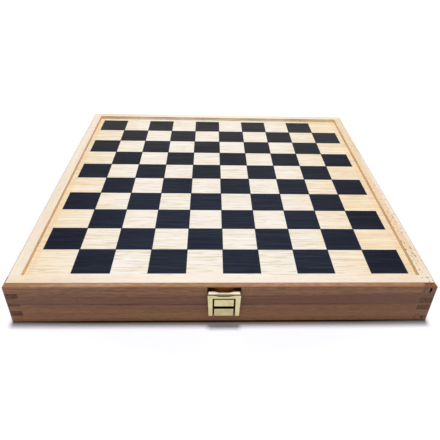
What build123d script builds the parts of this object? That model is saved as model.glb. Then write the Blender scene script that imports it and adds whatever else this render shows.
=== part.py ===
from build123d import *
import math
import os

# A closed square games box, 334 mm across: a tray and a lid, finger jointed from one box
# and sawn apart, with a sunk 10 x 10 draughts board as the lid's panel, two butt hinges at
# the back and a brass latch at the front. Millimetres; +Z is up, +X to the right and +Y to
# the back, seen from the latch side. The origin is on the floor, under the middle.

# ---- Driving dimensions: box ----
square = 30.0            # one square of the draughts board
squares_per_side = 10
border = 5.8             # plain strip between the squares and the rail
board_t = 11.0           # thickness of the side boards
base_h = 19.85           # height of the tray half
lid_h = 20.45            # height of the lid half
seam_gap = 0.3           # between the two rims when closed
chamfer_size = 2.45      # round the lid's top outer edges
foot_chamfer = 1.2       # round the tray half's bottom outer edges
edge_finger = 8.05       # first finger, up from the floor
top_finger = 9.15        # first finger, down from the rim
finger = 5.2             # the other fingers of the corner joints
shoulder = 1.4           # the fingers of each right end stop short of the board's inner face
recess = 3.85            # playing surface below the rim
panel_t = 4.4            # core of the playing panel
veneer_t = 0.6
bottom_t = 3.0           # bottom panel
bottom_lift = 3.0        # bottom panel above the floor
groove_wall = 3.6        # wood left outside the panel grooves
panel_play = 1.4         # the panels stop short of the groove's bottom
print_t = 0.3            # dark squares, flush in the veneer
print_play = 0.05        # keeps the corners of two dark squares apart
print_shift_x = -0.3     # the print sits a little off the middle
print_shift_y = 0.5

# ---- Driving dimensions: hinges ----
hinge_x = 100.0          # middle of each hinge, either side of the box's middle
hinge_len = 30.0
leaf_w = 9.0             # leaf, in from the back face
leaf_t = 1.0
hinge_out = 1.0          # hinge axis behind the back face
hinge_pin_r = 1.45
pin_play = 0.05          # running clearance of a pin, on radius
knuckles = 5
knuckle_gap = 0.2
clear = 0.3              # between moving pieces and what they pass
screw_x = 9.0            # hinge screws, either side of the hinge's middle
screw_head_r = 2.1
screw_shank_r = 1.1
screw_len = 7.0
screw_point_r = 0.05
screw_slot_w = 0.5
screw_slot_deep = 0.5

# ---- Driving dimensions: latch ----
latch_x = 0.1            # middle of the latch, fitted a little to the right
hasp_up = 13.55          # top of the hasp above the seam
hasp_down = 9.6          # foot of the hasp below the seam
hasp_half_w = 12.85      # at the top
hasp_foot_half_w = 12.0
window_half_w = 8.7
bar_h = 4.75             # top bar of the hasp
hasp_t = 1.0
hasp_corner_r = 0.7
hasp_face_out = 3.2      # front of the hasp frame, out from the face of the box
cap_t = 0.8
bend_r = 1.4             # outer bend between the hasp's frame and its cap
cap_half_w = 12.3        # the hasp narrows through its bend
cap_corner_r = 0.7
notch_half_w = 7.4       # hollow in the cap's rear edge
notch_depth = 2.3
latch_pin_r = 0.7
latch_pin_in = 0.4       # latch axis behind the face of the box
barrel_r = 1.2           # rolled barrel of the lid plate
plate_t = 0.6            # lid plate and keeper
plate_half_w = 11.5
tongue_half_w = 7.65
tongue_out = 2.8         # raised part of lid plate and keeper, out from the face
tongue_round_r = 0.5
lid_plate_up = 0.2       # foot of the lid plate above the seam
keeper_down = 2.25       # top of the keeper below the seam
keeper_foot_down = 0.6   # foot of the keeper below the foot of the hasp
mortise_down = 0.2       # top of the latch's hollow below the chamfer
window_play = 1.35       # raised part below the hasp's top bar
nail_x = 10.1
nail_head_r = 0.8
nail_head_t = 0.4
nail_round_r = 0.24
nail_shank_r = 0.5
nail_len = 6.0

# ---- Driving dimensions: tray and contents ----
divider_t = 4.0
divider_drop = 0.6       # dividers below the tray's rim
rest_gap = 0.05          # under a loose curved piece
man_r = 12.5             # draughtsman
man_t = 6.0
man_round_r = 0.8
man_ring_in_r = 7.75     # turned groove on each face
man_ring_out_r = 9.4
man_ring_deep = 0.6
man_pitch = 26.5
man_inset = 1.3          # between the men and the walls they are pushed against
men_per_row = 5
men_rows = 2
men_layers = 2
domino_w = 20.0
domino_l = 40.0
domino_t = 5.5
domino_corner_r = 1.5
domino_line_w = 0.8      # line across the middle
domino_line_in = 2.0     # ends of the line, in from the sides
domino_gap = 0.6
domino_rows = 4
domino_pip_r = 1.6
domino_pip_pitch = 5.2
highest_pip = 6
die_w = 12.0
die_round_r = 1.2
dice_up = (3, 6, 1, 4, 2)    # the number up on each
dice_sway = 5.0          # side to side
dice_turn = 25.0         # degrees, either way
dice_step = 2.3          # radians of sway from one die to the next
die_pip_r = 1.1
die_pip_pitch = 3.0
pip_t = 0.4
pawn_base_r = 6.0
pawn_ball_r = 4.0
pawn_neck_r = 2.2
pawn_flare = 0.8         # halfway up, over the neck
pawn_rim_t = 2.0
pawn_h = 23.0
pawn_pitch_x = 28.0
pawn_pitch_y = 15.0
pawns_per_colour = 4
card_w = 57.0
card_l = 88.0
card_stack_t = 10.5
card_corner_r = 3.5
pad_w = 105.0
pad_l = 148.0
pad_t = 5.0
pad_back_t = 1.0
pad_inset = 1.0          # between the pad and the walls it is pushed against
pencil_r = 3.5
pencil_len = 88.0
pencil_point = 11.0
pencil_cone_r = 4.2      # of the sharpened cone, where it meets the body
pencil_tip_r = 0.15
pencil_lead_r = 1.0
pencil_gap = 3.0         # between the pad and the pencil
pencil_room = 1.7        # between the pencil and the divider
pencil_start = 24.0      # foot of the pencil behind the pawn divider
stick_r = 1.5
stick_len = 180.0
stick_point = 6.0
stick_tip_r = 0.3
stick_play = 0.1
stick_inset = 0.75       # between the lowest sticks and the divider
stick_sway = 2.0         # endwise
stick_step = 3.1         # radians of sway from one stick to the next
sticks_wide = 11
stick_count = 31
finger_room = 6.0        # spare room beside the contents

# ---- Worked out from these ----
panel_w = squares_per_side * square + 2 * border
box_half = panel_w / 2 + board_t
tray_half = panel_w / 2
lid_low = base_h + seam_gap
box_h = lid_low + lid_h
seam_z = base_h + seam_gap / 2
playing_z = box_h - recess
veneer_z = playing_z - veneer_t
panel_z = veneer_z - panel_t
bottom_z = bottom_lift + bottom_t
groove_half = box_half - groove_wall
tongue_half = groove_half - panel_play
front = -box_half
back = box_half


def slab(x, y, z):
    """A box between two limits along each axis."""
    size = Box(x[1] - x[0], y[1] - y[0], z[1] - z[0])
    return Pos((x[0] + x[1]) / 2, (y[0] + y[1]) / 2, (z[0] + z[1]) / 2) * size


def square_slab(half, z):
    return slab((-half, half), (-half, half), z)


def rod_along_x(radius, x, y, z):
    """A cylinder between two limits along X."""
    return Pos((x[0] + x[1]) / 2, y, z) * Rot(0, 90, 0) * Cylinder(radius, x[1] - x[0])


def rod_along_y(radius, x, y, z):
    """A cylinder between two limits along Y."""
    return Pos(x, (y[0] + y[1]) / 2, z) * Rot(90, 0, 0) * Cylinder(radius, y[1] - y[0])


def rod_upright(radius, low, high):
    """A cylinder between two heights, on the Z axis."""
    return Pos(0, 0, (low + high) / 2) * Cylinder(radius, high - low)


def save(node, solids):
    """Writes one node, from one solid or a list of separate solids."""
    shape = Compound(solids) if isinstance(solids, list) else solids
    export_step(shape, f"parts/{node}.step")


# ---- Finger-jointed frames ----
def finger_bands(edge, seam, first):
    """Bands of one half's corner joint, from its outer edge to the seam."""
    way = 1 if seam > edge else -1
    marks = [edge]
    step = first
    while abs(seam - marks[-1]) > step + clear:
        marks.append(marks[-1] + way * step)
        step = finger
    marks.append(seam)
    return [(min(pair), max(pair)) for pair in zip(marks, marks[1:])]


def side_board(bands):
    """The front board of a frame. Its left end owns the first band, its right end the next."""
    low = min(band[0] for band in bands)
    high = max(band[1] for band in bands)
    board = slab((-box_half, box_half), (front, front + board_t), (low, high))
    through = (front, front + board_t)
    stepped = (front + board_t - shoulder, front + board_t)
    for index, band in enumerate(bands):
        if index % 2:
            board -= slab((-box_half, -tray_half - shoulder), through, band)
            board -= slab((tray_half, box_half), stepped, band)
        else:
            board -= slab((tray_half, box_half), through, band)
    return board


def run_out_slots(low, high):
    """Narrow slots where the groove cutter ran out, at the right end of each face."""
    slot = slab((tongue_half, groove_half), (front, -groove_half), (low, high))
    return [Rot(0, 0, 90 * quarter) * slot for quarter in range(4)]


def frame_boards(bands, groove, envelope, fittings):
    """Front, right, back and left boards of one half, grooved and cut for the fittings."""
    board = side_board(bands)
    cuts = [square_slab(groove_half, groove)] + run_out_slots(*groove) + fittings
    boards = []
    for quarter in range(4):
        turned = Rot(0, 0, 90 * quarter) * board
        turned = turned & envelope
        for cut in cuts:
            turned -= cut
        boards.append(turned.solid())
    return boards


def chamfered_lid_block():
    block = square_slab(box_half, (lid_low, box_h))
    return chamfer(block.faces().sort_by(Axis.Z)[-1].edges(), chamfer_size)


def chamfered_base_block():
    block = square_slab(box_half, (0, base_h))
    return chamfer(block.faces().sort_by(Axis.Z)[0].edges(), foot_chamfer)


# ---- Playing board ----
def is_dark(column, row):
    """Column from the left, row from the front: the front left square is light."""
    return (column + row) % 2 == 1


def dark_squares():
    half = square / 2 - print_play
    tile = slab((-half, half), (-half, half), (playing_z - print_t, playing_z))
    first = -(squares_per_side - 1) * square / 2
    places = [(first + column * square + print_shift_x, first + row * square + print_shift_y)
              for row in range(squares_per_side)
              for column in range(squares_per_side)
              if is_dark(column, row)]
    return [(Pos(x, y, 0) * tile).solid() for x, y in places]


# ---- Hinges ----
hinge_y = back + hinge_out
hinge_bore_r = hinge_pin_r + pin_play
hinge_barrel_r = hinge_bore_r + leaf_t
leaf_front = back - leaf_w
leaf_screw_y = (leaf_front + hinge_y - hinge_barrel_r) / 2
knuckle_pitch = hinge_len / knuckles


def hinge_leaf(middle, own, low):
    """A leaf with every second knuckle, from the one numbered own; low is its underside."""
    start = middle - hinge_len / 2
    overlap_y = hinge_y - (hinge_bore_r + hinge_barrel_r) / 2
    leaf = slab((start, start + hinge_len), (leaf_front, overlap_y), (low, low + leaf_t))
    for index in range(knuckles):
        cell = (start + index * knuckle_pitch, start + (index + 1) * knuckle_pitch)
        if index % 2 == own:
            inside = (cell[0] + knuckle_gap / 2, cell[1] - knuckle_gap / 2)
            leaf += rod_along_x(hinge_barrel_r, inside, hinge_y, seam_z)
        else:
            leaf -= rod_along_x(hinge_barrel_r + clear, cell, hinge_y, seam_z)
    leaf -= rod_along_x(hinge_bore_r, (start, start + hinge_len), hinge_y, seam_z)
    return leaf


def screw(play=0.0):
    """A countersunk wood screw, head up at z = 0; with play it is the hole for one."""
    cone_h = screw_head_r - screw_shank_r
    shank_low = -screw_len - play
    body = Pos(0, 0, -cone_h / 2) * Cone(screw_shank_r + play, screw_head_r + play, cone_h)
    body += rod_upright(screw_shank_r + play, shank_low + screw_shank_r, -cone_h)
    tip = Cone(screw_point_r, screw_shank_r + play, screw_shank_r)
    return body + Pos(0, 0, shank_low + screw_shank_r / 2) * tip


def slotted_screw():
    across = (-screw_slot_w / 2, screw_slot_w / 2)
    slot = slab((-screw_head_r, screw_head_r), across, (-screw_slot_deep, clear))
    return (screw() - slot).solid()


def at_screws(piece, face_z, upward):
    """The piece at the four screw places of one side of both hinges."""
    turn = Rot(180, 0, 0) if upward else Rot(0, 0, 0)
    return [Pos(side * hinge_x + along * screw_x, leaf_screw_y, face_z) * turn * piece
            for side in (-1, 1) for along in (-1, 1)]


def hinge_mortises(leaf_z):
    """What both hinges take out of the boards: leaf pockets and room for the barrels."""
    cuts = []
    for side in (-1, 1):
        x = side * hinge_x
        long = (x - hinge_len / 2, x + hinge_len / 2)
        barrel = (long[0] - clear, long[1] + clear)
        cuts.append(slab(long, (leaf_front, back + clear), leaf_z))
        cuts.append(rod_along_x(hinge_barrel_r + clear, barrel, hinge_y, seam_z))
    return cuts


# ---- Latch ----
hasp_top = seam_z + hasp_up
hasp_foot = seam_z - hasp_down
window_top = hasp_top - bar_h
cap_low = hasp_top - cap_t
latch_y = front + latch_pin_in
latch_z = cap_low - clear - barrel_r
hasp_front = front - hasp_face_out
hasp_rear = hasp_front + hasp_t
ear_in = cap_half_w - hasp_t
barrel_half = ear_in - knuckle_gap
latch_bore_r = latch_pin_r + pin_play
latch_mortise_depth = latch_pin_in + (hasp_top - latch_z) + clear
nail_lid_z = (seam_z + window_top) / 2
nail_keeper_z = (seam_z + hasp_foot) / 2


def mirrored_span(half):
    """Limits along X, either side of the latch's middle."""
    return (latch_x - half, latch_x + half)


def hasp():
    """A window frame, bent back at its top into a cap that hides the latch pin."""
    bend_low = hasp_top - bend_r
    outline = [(-cap_half_w, hasp_top), (cap_half_w, hasp_top), (hasp_half_w, bend_low),
               (hasp_foot_half_w, hasp_foot), (window_half_w, hasp_foot),
               (window_half_w, window_top), (-window_half_w, window_top),
               (-window_half_w, hasp_foot), (-hasp_foot_half_w, hasp_foot), (-hasp_half_w, bend_low)]
    corners = [(latch_x + x, latch_y, z) for x, z in outline]
    face = make_face(Polyline(*corners, close=True))
    piece = extrude(face, amount=latch_y - hasp_front, dir=(0, -1, 0))
    rows = piece.edges().filter_by(Axis.Y).group_by(Axis.Z)
    piece = fillet(rows[0], hasp_corner_r)
    rows = piece.edges().filter_by(Axis.Y).group_by(Axis.Z)
    piece = fillet(rows[-1], cap_corner_r)
    wide = mirrored_span(hasp_half_w)
    bent = slab(wide, (hasp_front, latch_y), (hasp_foot, hasp_top))
    edge = bent.edges().filter_by(Axis.X).group_by(Axis.Y)[0].sort_by(Axis.Z)[-1]
    bent = fillet(edge, bend_r) - slab(wide, (hasp_rear, latch_y), (hasp_foot, cap_low))
    notch_r = (notch_half_w ** 2 + notch_depth ** 2) / (2 * notch_depth)
    notch = Pos(latch_x, latch_y - notch_depth + notch_r, 0) * rod_upright(notch_r, cap_low, hasp_top)
    piece = (piece & bent) - notch
    for side in (-1, 1):
        ends = sorted((latch_x + side * ear_in, latch_x + side * cap_half_w))
        piece += slab(ends, (hasp_rear, latch_y), (latch_z - barrel_r, cap_low))
        piece += rod_along_x(barrel_r, ends, latch_y, latch_z)
    piece -= rod_along_x(latch_bore_r, mirrored_span(cap_half_w), latch_y, latch_z)
    return piece.solid()


def raised_plate(low, high):
    """A plate on the face of the box with a raised tongue between the hasp's legs."""
    plate = slab(mirrored_span(plate_half_w), (front - plate_t, front), (low, high))
    tongue = slab(mirrored_span(tongue_half_w), (front - tongue_out, front), (low, high))
    soft = tongue.edges().filter_by(Axis.X).group_by(Axis.Y)[0]
    return plate + fillet(soft, tongue_round_r)


def lid_plate():
    plate = raised_plate(seam_z + lid_plate_up, window_top - window_play)
    web = (window_top - window_play, latch_z - (barrel_r + latch_bore_r) / 2)
    plate += slab(mirrored_span(barrel_half), (front - plate_t, front), web)
    plate += rod_along_x(barrel_r, mirrored_span(barrel_half), latch_y, latch_z)
    return plate - rod_along_x(latch_bore_r, mirrored_span(barrel_half), latch_y, latch_z)


def keeper():
    return raised_plate(hasp_foot - keeper_foot_down, seam_z - keeper_down)


def nail_shank(x, z, play=0.0):
    """The shank of a nail through a latch plate; with play it is its hole."""
    return rod_along_y(nail_shank_r + play, x, (front - plate_t, front + nail_len + play), z)


def nail(x, z):
    head = rod_along_y(nail_head_r, x, (front - plate_t - nail_head_t, front - plate_t), z)
    rounded = fillet(head.edges().sort_by(Axis.Y)[0], nail_round_r)
    return (nail_shank(x, z) + rounded).solid()


def nails(z):
    return [nail(latch_x + side * nail_x, z) for side in (-1, 1)]


def nail_holes(z):
    return [nail_shank(latch_x + side * nail_x, z, pin_play) for side in (-1, 1)]


def latch_mortise():
    heights = (latch_z - barrel_r - clear, box_h - chamfer_size - mortise_down)
    depths = (front - clear, front + latch_mortise_depth)
    return slab(mirrored_span(hasp_half_w + knuckle_gap), depths, heights)


# ---- Tray ----
divider_z = (bottom_z, base_h - divider_drop)
stick_room = sticks_wide * (2 * stick_r + stick_play) + 2 * stick_r
pad_room = pad_inset + pad_w + pencil_gap + 2 * pencil_r + pencil_room
right_x = (tray_half - stick_room, tray_half)
middle_x = (right_x[0] - divider_t - pad_room, right_x[0] - divider_t)
left_x = (-tray_half, middle_x[0] - divider_t)
dominoes_per_row = int((left_x[1] - left_x[0]) / (domino_w + domino_gap))
domino_y = (-tray_half, -tray_half + domino_rows * (domino_l + domino_gap) + finger_room)
men_depth = (tray_half - domino_y[1] - 2 * divider_t) / 2
light_y = (domino_y[1] + divider_t, domino_y[1] + divider_t + men_depth)
dark_y = (light_y[1] + divider_t, tray_half)
card_y = (-tray_half, -tray_half + card_w + 2 * finger_room)
pawn_y = (card_y[1] + divider_t, card_y[1] + divider_t + pawns_per_colour * pawn_pitch_y)
pad_y = (pawn_y[1] + divider_t, tray_half)
stick_y = (-tray_half, -tray_half + stick_len + 2 * finger_room)
dice_y = (stick_y[1] + divider_t, tray_half)


def cross_divider(x, after):
    """A divider across one column, just behind the compartment that ends at after."""
    return slab(x, (after, after + divider_t), divider_z)


def dividers():
    whole = (-tray_half, tray_half)
    return {
        "left_long_divider": slab((left_x[1], middle_x[0]), whole, divider_z),
        "right_long_divider": slab((middle_x[1], right_x[0]), whole, divider_z),
        "domino_divider": cross_divider(left_x, domino_y[1]),
        "draughtsmen_divider": cross_divider(left_x, light_y[1]),
        "card_divider": cross_divider(middle_x, card_y[1]),
        "pawn_divider": cross_divider(middle_x, pawn_y[1]),
        "dice_divider": cross_divider(right_x, stick_y[1]),
    }


# ---- Contents ----
def draughtsman():
    """A flat disc with a turned groove on each face."""
    disc = rod_upright(man_r, 0, man_t)
    disc = fillet(disc.edges(), man_round_r)
    groove = rod_upright(man_ring_out_r, 0, man_ring_deep)
    groove -= rod_upright(man_ring_in_r, 0, man_ring_deep)
    return (disc - groove - Pos(0, 0, man_t - man_ring_deep) * groove).solid()


def men_set(y):
    """Twenty men, stacked in twos along the front left of their compartment."""
    man = draughtsman()
    first_x = left_x[0] + man_inset + man_pitch / 2
    first_y = y[0] + man_inset + man_pitch / 2
    places = [Pos(first_x + column * man_pitch, first_y + row * man_pitch, bottom_z + layer * man_t)
              for row in range(men_rows)
              for column in range(men_per_row)
              for layer in range(men_layers)]
    return [(place * man).solid() for place in places]


def pip_spots(count):
    """Places of 0 to 6 pips, in steps of the pip pitch."""
    spots = [(0, 0)] if count % 2 else []
    if count >= 2:
        spots += [(-1, -1), (1, 1)]
    if count >= 4:
        spots += [(-1, 1), (1, -1)]
    if count == 6:
        spots += [(-1, 0), (1, 0)]
    return spots


def domino_blank():
    """A domino with the line across its middle, standing on z = 0."""
    blank = slab((-domino_w / 2, domino_w / 2), (-domino_l / 2, domino_l / 2), (0, domino_t))
    blank = fillet(blank.edges().filter_by(Axis.Z), domino_corner_r)
    line_half = domino_w / 2 - domino_line_in
    line_y = (-domino_line_w / 2, domino_line_w / 2)
    return blank - slab((-line_half, line_half), line_y, (domino_t - pip_t, domino_t))


def domino_place(index):
    """Where one domino lies: along the rows first, then in a second layer if need be."""
    column = index % dominoes_per_row
    row = index // dominoes_per_row % domino_rows
    layer = index // (dominoes_per_row * domino_rows)
    x = left_x[0] + domino_gap + domino_w / 2 + column * (domino_w + domino_gap)
    y = domino_y[0] + domino_gap + domino_l / 2 + row * (domino_l + domino_gap)
    return Pos(x, y, bottom_z + layer * domino_t)


def domino_set():
    """The double-six set and its pips as flush discs."""
    blank = domino_blank()
    disc = rod_upright(domino_pip_r, domino_t - pip_t, domino_t)
    pairs = [(low, high) for high in range(highest_pip + 1) for low in range(high + 1)]
    tiles = []
    pips = []
    for index, (low, high) in enumerate(pairs):
        place = domino_place(index)
        tile = blank
        for half, count in ((-1, low), (1, high)):
            for across, along in pip_spots(count):
                spot = Pos(across * domino_pip_pitch,
                           half * domino_l / 4 + along * domino_pip_pitch, 0)
                tile = tile - spot * disc
                pips.append((place * spot * disc).solid())
        tiles.append((place * tile).solid())
    return tiles, pips


def die_turns():
    """Turns from the top to the faces 1 to 6, so that opposite faces add up to seven."""
    return [Rot(0, 0, 0), Rot(90, 0, 0), Rot(0, 90, 0),
            Rot(0, -90, 0), Rot(-90, 0, 0), Rot(180, 0, 0)]


def dice_set():
    """Dice with flush pips, each turned a little differently."""
    half = die_w / 2
    cube = fillet(Box(die_w, die_w, die_w).edges(), die_round_r)
    disc = rod_upright(die_pip_r, half - pip_t, half)
    spots = []
    for count, turn in enumerate(die_turns(), start=1):
        for across, along in pip_spots(count):
            spots.append(turn * Pos(across * die_pip_pitch, along * die_pip_pitch, 0) * disc)
    for spot in spots:
        cube -= spot
    dice = []
    pips = []
    step = (dice_y[1] - dice_y[0]) / len(dice_up)
    for index, number in enumerate(dice_up):
        sway = math.sin(dice_step * index)
        x = (right_x[0] + right_x[1]) / 2 + dice_sway * sway
        place = Pos(x, dice_y[0] + (index + 1 / 2) * step, bottom_z + half)
        place = place * Rot(0, 0, dice_turn * sway) * die_turns()[number - 1].inverse()
        dice.append((place * cube).solid())
        pips += [(place * spot).solid() for spot in spots]
    return dice, pips


def pawn():
    """A pawn standing on z = 0: a flared body under a ball."""
    ball_z = pawn_h - pawn_ball_r
    with BuildPart() as body:
        with BuildSketch(Plane.XZ):
            with BuildLine():
                Line((0, 0), (pawn_base_r, 0))
                Line((pawn_base_r, 0), (pawn_base_r, pawn_rim_t))
                Spline((pawn_base_r, pawn_rim_t), (pawn_neck_r + pawn_flare, ball_z / 2),
                       (pawn_neck_r, ball_z - pawn_rim_t), tangents=[(-1, 1), (0, 1)])
                Line((pawn_neck_r, ball_z - pawn_rim_t), (pawn_neck_r, ball_z))
                Line((pawn_neck_r, ball_z), (0, ball_z))
                Line((0, ball_z), (0, 0))
            make_face()
        revolve(axis=Axis.Z)
    return (body.part + Pos(0, 0, ball_z) * Sphere(pawn_ball_r)).solid()


def lying_pawns(column):
    """One colour of pawns lying head to tail, each on its ball and the rim of its foot."""
    arm = pawn_h - pawn_ball_r - pawn_rim_t
    reach = math.hypot(pawn_base_r, arm)
    tilt = math.degrees(math.acos(pawn_ball_r / reach) - math.atan2(arm, pawn_base_r))
    slope = math.radians(tilt)
    base_z = bottom_z + rest_gap + pawn_base_r * math.cos(slope) + pawn_rim_t * math.sin(slope)
    piece = pawn()
    middle = middle_x[0] + (column + 1 / 2) * pawn_pitch_x
    pawns = []
    for row in range(pawns_per_colour):
        way = -1 if (row + column) % 2 else 1
        y = pawn_y[0] + (row + 1 / 2) * pawn_pitch_y
        place = Pos(middle - way * pawn_h / 2, y, base_z) * Rot(0, way * (90 + tilt), 0)
        pawns.append((place * piece).solid())
    return pawns


def card_pack():
    x = middle_x[0] + finger_room
    y = (card_y[0] + card_y[1]) / 2
    across = (y - card_w / 2, y + card_w / 2)
    stack = slab((x, x + card_l), across, (bottom_z, bottom_z + card_stack_t))
    return fillet(stack.edges().filter_by(Axis.Z), card_corner_r)


def score_pad():
    """Backing card and sheets, pushed against the back left of their compartment."""
    x = (middle_x[0] + pad_inset, middle_x[0] + pad_inset + pad_w)
    y = (pad_y[1] - pad_inset - pad_l, pad_y[1] - pad_inset)
    sheets_z = bottom_z + pad_back_t
    return slab(x, y, (bottom_z, sheets_z)), slab(x, y, (sheets_z, sheets_z + pad_t))


def pencil():
    """A six-sided pencil lying beside the pad, and its lead."""
    hexagon = extrude(RegularPolygon(pencil_r, 6, major_radius=False), pencil_len)
    point = Cone(pencil_cone_r, pencil_tip_r, pencil_point)
    sharp = rod_upright(pencil_cone_r, 0, pencil_len - pencil_point)
    sharp += Pos(0, 0, pencil_len - pencil_point / 2) * point
    whole = hexagon & sharp
    core = rod_upright(pencil_lead_r, 0, pencil_len)
    x = middle_x[1] - pencil_room - pencil_r
    spot = Pos(x, pad_y[0] + pencil_start, bottom_z + pencil_r) * Rot(-90, 0, 0)
    return (spot * (whole - core)).solid(), (spot * (whole & core)).solid()


def pick_up_sticks():
    """Pointed sticks bedded in each other's hollows, in layers one stick narrower in turn."""
    shaft = rod_upright(stick_r, stick_point, stick_len - stick_point)
    point = Pos(0, 0, stick_len - stick_point / 2) * Cone(stick_r, stick_tip_r, stick_point)
    foot = Pos(0, 0, stick_point / 2) * Cone(stick_tip_r, stick_r, stick_point)
    stick = (shaft + point + foot).solid()
    pitch = 2 * stick_r + stick_play
    sticks = []
    layer = 0
    while len(sticks) < stick_count:
        in_layer = sticks_wide - layer % 2
        for index in range(min(in_layer, stick_count - len(sticks))):
            x = right_x[0] + stick_inset + stick_r + pitch * (index + (layer % 2) / 2)
            z = bottom_z + stick_r + rest_gap + layer * pitch * math.sqrt(3) / 2
            y = stick_y[0] + finger_room + stick_sway * math.sin(stick_step * len(sticks))
            sticks.append((Pos(x, y, z) * Rot(-90, 0, 0) * stick).solid())
        layer += 1
    return sticks


# ---- Building and writing ----
os.makedirs("parts", exist_ok=True)

base_screw_holes = at_screws(screw(pin_play), base_h, False)
lid_screw_holes = at_screws(screw(pin_play), lid_low, True)
lid_nail_holes = nail_holes(nail_lid_z)
keeper_nail_holes = nail_holes(nail_keeper_z)
sides = ("front", "right", "back", "left")

base_fittings = hinge_mortises((base_h - leaf_t, base_h + seam_gap))
base_fittings += base_screw_holes + keeper_nail_holes
base_frame = frame_boards(finger_bands(0, base_h, edge_finger), (bottom_lift, bottom_z),
                          chamfered_base_block(), base_fittings)
for side, board in zip(sides, base_frame):
    save(f"base_{side}_board", board)

lid_fittings = hinge_mortises((lid_low - seam_gap, lid_low + leaf_t)) + [latch_mortise()]
lid_fittings += lid_screw_holes + lid_nail_holes
lid_frame = frame_boards(finger_bands(box_h, lid_low, top_finger), (panel_z, playing_z),
                         chamfered_lid_block(), lid_fittings)
for side, board in zip(sides, lid_frame):
    save(f"lid_{side}_board", board)

squares = dark_squares()
veneer = square_slab(tongue_half, (veneer_z, playing_z))
for dark in squares:
    veneer -= dark
save("board_veneer", veneer)
save("dark_squares", squares)
save("board_panel", square_slab(tongue_half, (panel_z, veneer_z)))
save("bottom_panel", square_slab(tongue_half, (bottom_lift, bottom_z)))

for name, middle in (("left", -hinge_x), ("right", hinge_x)):
    base_leaf = hinge_leaf(middle, 0, base_h - leaf_t)
    lid_leaf = hinge_leaf(middle, 1, lid_low)
    for hole in base_screw_holes:
        base_leaf -= hole
    for hole in lid_screw_holes:
        lid_leaf -= hole
    long = (middle - hinge_len / 2, middle + hinge_len / 2)
    save(f"{name}_hinge_base_leaf", base_leaf.solid())
    save(f"{name}_hinge_lid_leaf", lid_leaf.solid())
    save(f"{name}_hinge_pin", rod_along_x(hinge_pin_r, long, hinge_y, seam_z))
save("base_hinge_screws", [piece.solid() for piece in at_screws(slotted_screw(), base_h, False)])
save("lid_hinge_screws", [piece.solid() for piece in at_screws(slotted_screw(), lid_low, True)])

lid_latch_plate = lid_plate()
latch_keeper = keeper()
for hole in lid_nail_holes:
    lid_latch_plate -= hole
for hole in keeper_nail_holes:
    latch_keeper -= hole
save("latch_lid_plate", lid_latch_plate.solid())
save("latch_keeper", latch_keeper.solid())
save("latch_hasp", hasp())
save("latch_pin", rod_along_x(latch_pin_r, mirrored_span(cap_half_w), latch_y, latch_z))
save("lid_plate_nails", nails(nail_lid_z))
save("keeper_nails", nails(nail_keeper_z))

for name, divider in dividers().items():
    save(name, divider)

domino_tiles, domino_pips = domino_set()
dice, dice_pips = dice_set()
pad_back, pad_sheets = score_pad()
pencil_wood, pencil_lead = pencil()
save("light_draughtsmen", men_set(light_y))
save("dark_draughtsmen", men_set(dark_y))
save("dominoes", domino_tiles)
save("domino_pips", domino_pips)
save("dice", dice)
save("dice_pips", dice_pips)
for column, colour in enumerate(("red", "yellow", "green", "blue")):
    save(f"{colour}_pawns", lying_pawns(column))
save("card_pack", card_pack())
save("pad_backing", pad_back)
save("pad_sheets", pad_sheets)
save("pencil_body", pencil_wood)
save("pencil_lead", pencil_lead)
save("pick_up_sticks", pick_up_sticks())
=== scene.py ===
"""Looks of the games box: wood, brass and paper materials, camera, floor and light."""
import math
from collections import namedtuple
from functools import cached_property

import bpy
from mathutils import Matrix, Vector


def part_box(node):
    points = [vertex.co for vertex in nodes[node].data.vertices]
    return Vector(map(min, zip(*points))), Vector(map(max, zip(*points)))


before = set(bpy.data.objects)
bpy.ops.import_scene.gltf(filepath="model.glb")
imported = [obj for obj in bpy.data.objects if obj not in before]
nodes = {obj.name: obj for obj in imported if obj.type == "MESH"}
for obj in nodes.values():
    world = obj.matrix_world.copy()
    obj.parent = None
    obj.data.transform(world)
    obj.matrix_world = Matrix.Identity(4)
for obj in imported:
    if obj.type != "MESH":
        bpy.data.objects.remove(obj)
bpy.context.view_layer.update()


def srgb(red, green, blue):
    """A colour written as 0 to 255, as the linear value that the nodes take."""
    def line(value):
        value /= 255
        return value / 12.92 if value <= 0.04045 else ((value + 0.055) / 1.055) ** 2.4
    return (line(red), line(green), line(blue), 1.0)


# ---- Camera, as the photograph was taken (angles in degrees, lengths in metres) ----
FRAME_PX = 440
FOCAL_PX = 461.53
CENTRE_PX = (230.98, 209.29)
SENSOR_MM = 36.0
CLIP_START = 0.01
CAMERA_YAW = -3.169
CAMERA_DOWN = 33.883
CAMERA_ROLL = 2.122
CAMERA_FROM_BOARD = Vector((-0.0115, -0.42618, 0.24765))

# ---- Light and floor ----
SKY = 0.26               # what the world gives the object
KEY_W = 137.0
KEY_SIZE = 0.69
KEY_PLACE = Vector((0.0, 0.36, 4.0))
FLOOR_HALF = 4.0
FLOOR_BOUNCE = 0.2       # how pale the floor is to the object
FLOOR_PALE = (0.915, 0.93, 1.0, 1.0)
# Painted contact shadow: the floor's colour under and just round the box
FLOOR_SHADOW = (0.1, 0.05, 0.025, 1.0)
SHADOW_EDGE = (-0.0002, 0.0015)       # from the box's sides, over which the floor's painted contact shadow turns pale
GLOW = (0.2, 0.8)        # how far from the middle the floor's own white begins and is whole

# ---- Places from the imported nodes, in metres as all lengths are ----
BOX_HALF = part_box("base_right_board")[1][0]
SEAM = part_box("base_front_board")[1][2]
LID_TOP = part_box("lid_front_board")[1][2]
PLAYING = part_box("board_veneer")[1][2]
PANEL_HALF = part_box("board_panel")[1][0]
PANEL_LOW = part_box("board_panel")[0][2]
LATCH_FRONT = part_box("latch_hasp")[0][1]
HASP_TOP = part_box("latch_hasp")[1][2]

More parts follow.
